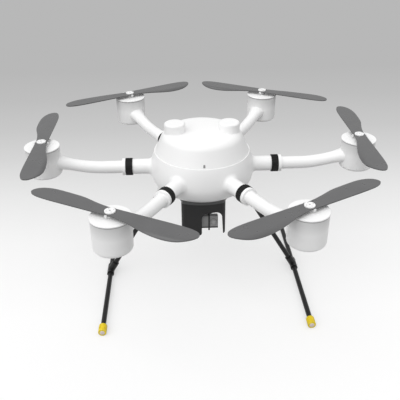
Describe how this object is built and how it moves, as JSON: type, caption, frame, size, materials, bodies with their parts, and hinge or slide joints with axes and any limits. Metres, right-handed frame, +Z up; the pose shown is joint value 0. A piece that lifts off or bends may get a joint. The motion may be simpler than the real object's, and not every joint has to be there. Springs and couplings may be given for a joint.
{
  "type": "multirotor drone",
  "caption": "Camera drone with a domed round body, raised arms with cup-shaped motor pods, two-bladed propellers, T-shaped skid legs and a shrouded gimbal camera.",
  "frame": {"origin": "on the ground under the centre of the body, midway between the skids", "axes": "+Z up; -Y to the front, the way the camera looks; +X to the right hand of someone who faces the drone. The propeller axes lie on a circle round +Z."},
  "size_m": [0.965, 0.9786, 0.493],
  "materials": {
    "white_shell": "satin white moulding",
    "white_arm": "satin white moulding",
    "antenna": "satin white",
    "clamp": "satin white",
    "collar": "satin black, ribbed",
    "propeller": "satin grey",
    "motor": "satin",
    "carbon_plate": "satin",
    "battery": "satin wrap",
    "electronics": "matt case",
    "gear_tube": "satin black tube",
    "gear_clamp": "satin black",
    "cap": "ribbed yellow rubber",
    "guard": "satin black",
    "gimbal": "black anodised",
    "camera": "satin grey",
    "lens": "grey glass"
  },
  "bodies": {
    "airframe": {"lower_shell": "white_shell", "centre_plate": "carbon_plate", "battery": "battery", "flight_controller": "electronics", "leg_left": "gear_tube", "tee_left": "gear_clamp", "skid_left": "gear_tube", "skid_cap_front_left": "cap", "skid_cap_rear_left": "cap", "leg_right": "gear_tube", "tee_right": "gear_clamp", "skid_right": "gear_tube", "skid_cap_front_right": "cap", "skid_cap_rear_right": "cap", "camera_guard": "guard", "gimbal_base": "gimbal"},
    "canopy": {"canopy": "white_shell", "antenna_left": "antenna", "antenna_right": "antenna"},
    "lock_ring_right": {"lock_ring_right": "collar"},
    "arm_right": {"arm_right": "white_arm", "motor_lid_right": "white_arm"},
    "propeller_right": {"motor_rotor_right": "motor", "propeller_right": "propeller", "prop_clamp_right": "clamp"},
    "lock_ring_rear_right": {"lock_ring_rear_right": "collar"},
    "arm_rear_right": {"arm_rear_right": "white_arm", "motor_lid_rear_right": "white_arm"},
    "propeller_rear_right": {"motor_rotor_rear_right": "motor", "propeller_rear_right": "propeller", "prop_clamp_rear_right": "clamp"},
    "lock_ring_rear_left": {"lock_ring_rear_left": "collar"},
    "arm_rear_left": {"arm_rear_left": "white_arm", "motor_lid_rear_left": "white_arm"},
    "propeller_rear_left": {"motor_rotor_rear_left": "motor", "propeller_rear_left": "propeller", "prop_clamp_rear_left": "clamp"},
    "lock_ring_left": {"lock_ring_left": "collar"},
    "arm_left": {"arm_left": "white_arm", "motor_lid_left": "white_arm"},
    "propeller_left": {"motor_rotor_left": "motor", "propeller_left": "propeller", "prop_clamp_left": "clamp"},
    "lock_ring_front_left": {"lock_ring_front_left": "collar"},
    "arm_front_left": {"arm_front_left": "white_arm", "motor_lid_front_left": "white_arm"},
    "propeller_front_left": {"motor_rotor_front_left": "motor", "propeller_front_left": "propeller", "prop_clamp_front_left": "clamp"},
    "lock_ring_front_right": {"lock_ring_front_right": "collar"},
    "arm_front_right": {"arm_front_right": "white_arm", "motor_lid_front_right": "white_arm"},
    "propeller_front_right": {"motor_rotor_front_right": "motor", "propeller_front_right": "propeller", "prop_clamp_front_right": "clamp"},
    "gimbal_roll": {"gimbal_roll_arm": "gimbal"},
    "camera": {"camera_cradle": "gimbal", "camera_body": "camera", "camera_lens": "lens"}
  },
  "joints": [
    {"name": "canopy_lift", "type": "slide", "parent": "airframe", "child": "canopy", "axis": [0, 0, 1], "range_m": [0, 0.1]},
    {"name": "lock_turn_right", "type": "hinge", "parent": "airframe", "child": "lock_ring_right", "pos_m": [0.20265, 0, 0.3635], "axis": [1, 0, 0], "range_deg": [0, 60]},
    {"name": "arm_pull_right", "type": "slide", "parent": "airframe", "child": "arm_right", "axis": [1, 0, 0], "range_m": [0, 0.06]},
    {"name": "prop_spin_right", "type": "hinge", "parent": "arm_right", "child": "propeller_right", "pos_m": [0.435, 0, 0.44], "axis": [0, 0, 1], "continuous": true},
    {"name": "lock_turn_rear_right", "type": "hinge", "parent": "airframe", "child": "lock_ring_rear_right", "pos_m": [0.10132, 0.1755, 0.3635], "axis": [0.5, 0.866, 0], "range_deg": [0, 60]},
    {"name": "arm_pull_rear_right", "type": "slide", "parent": "airframe", "child": "arm_rear_right", "axis": [0.5, 0.866, 0], "range_m": [0, 0.06]},
    {"name": "prop_spin_rear_right", "type": "hinge", "parent": "arm_rear_right", "child": "propeller_rear_right", "pos_m": [0.2175, 0.37672, 0.44], "axis": [0, 0, 1], "continuous": true},
    {"name": "lock_turn_rear_left", "type": "hinge", "parent": "airframe", "child": "lock_ring_rear_left", "pos_m": [-0.10132, 0.1755, 0.3635], "axis": [-0.5, 0.866, 0], "range_deg": [0, 60]},
    {"name": "arm_pull_rear_left", "type": "slide", "parent": "airframe", "child": "arm_rear_left", "axis": [-0.5, 0.866, 0], "range_m": [0, 0.06]},
    {"name": "prop_spin_rear_left", "type": "hinge", "parent": "arm_rear_left", "child": "propeller_rear_left", "pos_m": [-0.2175, 0.37672, 0.44], "axis": [0, 0, 1], "continuous": true},
    {"name": "lock_turn_left", "type": "hinge", "parent": "airframe", "child": "lock_ring_left", "pos_m": [-0.20265, 0, 0.3635], "axis": [-1, 0, 0], "range_deg": [0, 60]},
    {"name": "arm_pull_left", "type": "slide", "parent": "airframe", "child": "arm_left", "axis": [-1, 0, 0], "range_m": [0, 0.06]},
    {"name": "prop_spin_left", "type": "hinge", "parent": "arm_left", "child": "propeller_left", "pos_m": [-0.435, 0, 0.44], "axis": [0, 0, 1], "continuous": true},
    {"name": "lock_turn_front_left", "type": "hinge", "parent": "airframe", "child": "lock_ring_front_left", "pos_m": [-0.10132, -0.1755, 0.3635], "axis": [-0.5, -0.866, 0], "range_deg": [0, 60]},
    {"name": "arm_pull_front_left", "type": "slide", "parent": "airframe", "child": "arm_front_left", "axis": [-0.5, -0.866, 0], "range_m": [0, 0.06]},
    {"name": "prop_spin_front_left", "type": "hinge", "parent": "arm_front_left", "child": "propeller_front_left", "pos_m": [-0.2175, -0.37672, 0.44], "axis": [0, 0, 1], "continuous": true},
    {"name": "lock_turn_front_right", "type": "hinge", "parent": "airframe", "child": "lock_ring_front_right", "pos_m": [0.10132, -0.1755, 0.3635], "axis": [0.5, -0.866, 0], "range_deg": [0, 60]},
    {"name": "arm_pull_front_right", "type": "slide", "parent": "airframe", "child": "arm_front_right", "axis": [0.5, -0.866, 0], "range_m": [0, 0.06]},
    {"name": "prop_spin_front_right", "type": "hinge", "parent": "arm_front_right", "child": "propeller_front_right", "pos_m": [0.2175, -0.37672, 0.44], "axis": [0, 0, 1], "continuous": true},
    {"name": "camera_roll", "type": "hinge", "parent": "airframe", "child": "gimbal_roll", "pos_m": [0.0115, -0.02, 0.219], "axis": [0, 1, 0], "range_deg": [-25, 25]},
    {"name": "camera_tilt", "type": "hinge", "parent": "gimbal_roll", "child": "camera", "pos_m": [0.0115, -0.0605, 0.219], "axis": [1, 0, 0], "range_deg": [-30, 60]}
  ]
}
